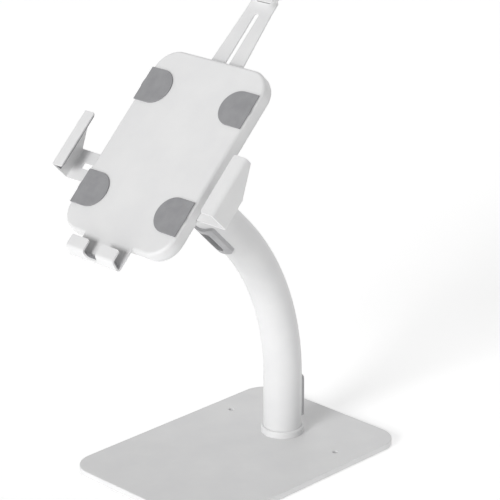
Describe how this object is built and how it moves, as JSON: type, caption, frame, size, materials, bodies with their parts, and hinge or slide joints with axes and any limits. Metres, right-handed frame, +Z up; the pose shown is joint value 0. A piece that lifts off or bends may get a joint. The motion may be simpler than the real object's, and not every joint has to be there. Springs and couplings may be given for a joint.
{
  "type": "tablet stand",
  "caption": "Countertop tablet stand with a flat weighted base, a bent hollow column and a tilting, turning holder whose sliding clips grip the tablet's edges.",
  "frame": {"origin": "on the counter under the rubber mat, midway between the two bolt-down holes, on the axis of the column's upright foot", "axes": "+X to the right of someone facing the screen, +Y away from them towards the back of the base, +Z up"},
  "size_m": [0.1764, 0.2689, 0.3908],
  "materials": {
    "white_coat": "satin white powder coat",
    "foot_rubber": "matt black rubber sheet",
    "pad_silicone": "matt grey silicone",
    "clip_rubber": "matt grey rubber",
    "grey_plastic": "moulded mid grey plastic",
    "core_plastic": "moulded off-white plastic",
    "nylon": "black nylon",
    "zinc": "zinc-plated steel"
  },
  "bodies": {
    "stand": {"base_plate": "white_coat", "base_mat": "foot_rubber", "base_collar": "white_coat", "column_tube": "white_coat", "column_insert": "zinc", "column_screws": "zinc", "lower_grommet": "grey_plastic", "upper_grommet": "grey_plastic", "head_fork": "white_coat", "fork_pin": "zinc", "tilt_bolt": "zinc", "tilt_nut": "zinc", "tilt_washers": "nylon"},
    "tilt_head": {"tilt_knuckle": "white_coat", "friction_washer": "nylon", "spindle_washer": "zinc", "spindle_nut": "zinc"},
    "holder": {"swivel_disc": "white_coat", "disc_screws": "zinc", "back_cover": "white_coat", "cover_screws": "zinc", "guide_core": "core_plastic", "front_plate": "white_coat", "bottom_liner": "clip_rubber", "pad_upper_left": "pad_silicone", "pad_upper_right": "pad_silicone", "pad_lower_left": "pad_silicone", "pad_lower_right": "pad_silicone", "lock_screws": "zinc"},
    "left_clip": {"left_arm": "white_coat", "left_liner": "clip_rubber"},
    "right_clip": {"right_arm": "white_coat", "right_liner": "clip_rubber"},
    "top_clip": {"top_bar": "white_coat", "top_liner": "clip_rubber"}
  },
  "joints": [
    {"name": "head_tilt", "type": "hinge", "parent": "stand", "child": "tilt_head", "pos_m": [0, -0.10071, 0.23914], "axis": [1, 0, 0], "range_deg": [-45, 45]},
    {"name": "holder_turn", "type": "hinge", "parent": "tilt_head", "child": "holder", "pos_m": [0, -0.10071, 0.23914], "axis": [0, -0.7071, 0.7071], "range_deg": [-90, 90]},
    {"name": "left_clip_slide", "type": "slide", "parent": "holder", "child": "left_clip", "axis": [-1, 0, 0], "range_m": [-0.015, 0.008]},
    {"name": "right_clip_slide", "type": "slide", "parent": "holder", "child": "right_clip", "axis": [1, 0, 0], "range_m": [-0.015, 0.008]},
    {"name": "top_clip_slide", "type": "slide", "parent": "holder", "child": "top_clip", "axis": [0, 0.7071, 0.7071], "range_m": [-0.038, 0.012]}
  ]
}
